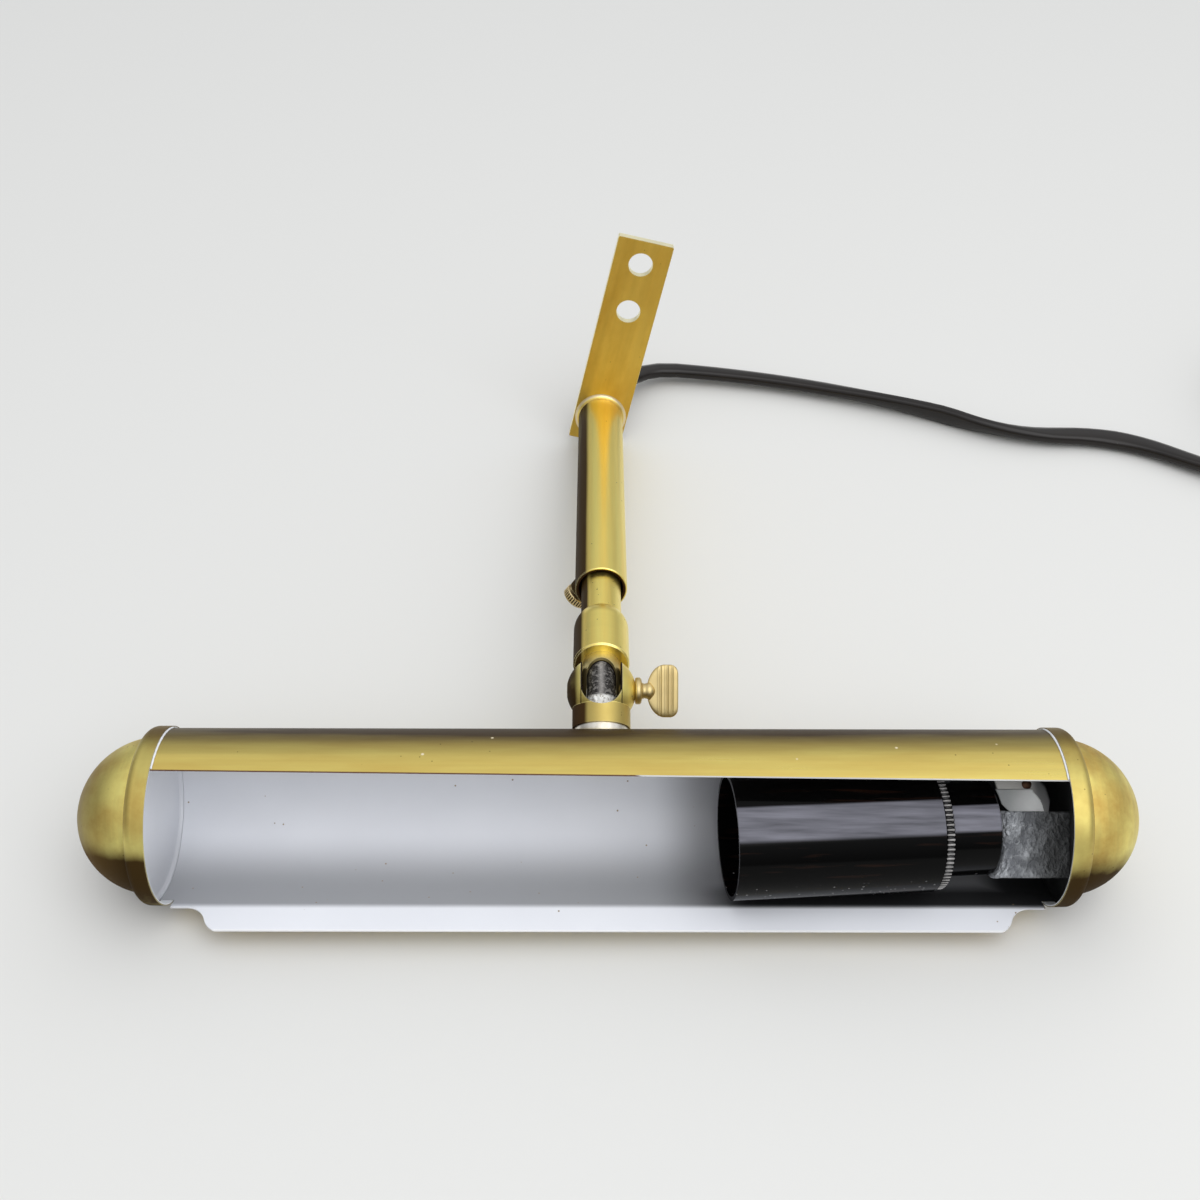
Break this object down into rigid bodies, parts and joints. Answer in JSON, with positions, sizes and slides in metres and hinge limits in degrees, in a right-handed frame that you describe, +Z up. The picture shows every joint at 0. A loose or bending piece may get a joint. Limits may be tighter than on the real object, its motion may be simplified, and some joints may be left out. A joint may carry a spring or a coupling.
{
  "type": "piano lamp",
  "caption": "Brass picture lamp for a piano: open tubular shade with domed ends and a small screw lampholder, tilting ball knuckle, telescopic arm, drilled wall strap, flat cord and plug.",
  "frame": {"origin": "table level under the middle of the lamp's box, cord left out", "axes": "+X along the shade towards its lampholder, +Y from the shade towards the wall strap, +Z up; the lamp lies on its two cap bands and a corner of the strap"},
  "size_m": [0.4572, 0.2464, 0.071],
  "materials": {
    "shade_brass": "satin, thin streaks of lacquer and wear",
    "cap_brass": "satin, brushed round",
    "white_plate": "matt white enamel",
    "knuckle_brass": "turned, tarnished on one side",
    "seat_metal": "pale plated washer",
    "plain_brass": "plain turned",
    "white_filler": "crumbly white",
    "wing_brass": "cast, fine grooves",
    "collar_brass": "turned",
    "tube_brass": "drawn tube, satin",
    "knurled_brass": "knurled",
    "strap_brass": "brushed sheet with scratches",
    "solder": "soft solder fillet",
    "black_rubber": "matt",
    "black_bakelite": "polished black bakelite",
    "insert_black": "moulded",
    "shell_brass": "pressed",
    "galvanised": "galvanised, mottled",
    "rusty_screw": "rusted",
    "cable_dark": "dusty cable sheath",
    "lead_white": "white insulation",
    "cord_dark": "satin, brown black flat cord",
    "tie_black": "matt",
    "plug_black": "moulded, satin",
    "pin_metal": "plated"
  },
  "bodies": {
    "bracket": {"strap": "strap_brass", "outer_tube": "tube_brass", "solder_ring": "solder", "clamp_boss": "plain_brass", "cord_bush": "black_rubber", "cord": "cord_dark", "cord_coil": "cord_dark", "cord_tie": "tie_black", "plug_body": "plug_black", "plug_pins": "pin_metal"},
    "clamp_screw": {"clamp_screw": "knurled_brass"},
    "sleeve": {"guide_sleeve": "plain_brass"},
    "arm": {"inner_tube": "tube_brass", "collar": "collar_brass", "tongue": "knuckle_brass", "arm_cable": "cable_dark"},
    "shade": {"shade": "shade_brass", "end_cap_left": "cap_brass", "end_cap_right": "cap_brass", "end_plate_left": "white_plate", "end_plate_right": "white_plate", "knuckle_ball": "knuckle_brass", "stem_seat": "seat_metal", "stem_cradle": "plain_brass", "stem_nut": "plain_brass", "stem_filler": "white_filler", "pivot_pin": "plain_brass", "holder_body": "black_bakelite", "holder_ring": "black_bakelite", "holder_cap": "black_bakelite", "socket_insert": "insert_black", "thread_shell": "shell_brass", "centre_contact": "shell_brass", "terminal_screw_a": "shell_brass", "terminal_screw_b": "shell_brass", "holder_bracket": "galvanised", "holder_nipple": "galvanised", "holder_nut": "galvanised", "bracket_screw": "rusty_screw", "head_lead": "lead_white"},
    "wing_screw": {"wing_screw": "wing_brass"}
  },
  "joints": [
    {"name": "clamp_turn", "type": "hinge", "parent": "bracket", "child": "clamp_screw", "pos_m": [-0.0017, 0.00333, 0.02428], "axis": [-0.5736, -0.1296, -0.8088], "range_deg": [0, 720]},
    {"name": "arm_extend", "type": "slide", "parent": "bracket", "child": "sleeve", "axis": [0, -0.9874, 0.1582], "range_m": [-0.012, 0.045]},
    {"name": "arm_turn", "type": "hinge", "parent": "sleeve", "child": "arm", "pos_m": [-0.0017, -0.04801, 0.03251], "axis": [0, 0.9874, -0.1582], "range_deg": [-175, 175]},
    {"name": "knuckle_tilt", "type": "hinge", "parent": "arm", "child": "shade", "pos_m": [-0.0017, -0.04801, 0.03251], "axis": [1, 0, 0], "range_deg": [-121.1, 58.9]},
    {"name": "wing_turn", "type": "hinge", "parent": "shade", "child": "wing_screw", "pos_m": [-0.0017, -0.04801, 0.03251], "axis": [1, 0, 0], "range_deg": [0, 720]}
  ]
}
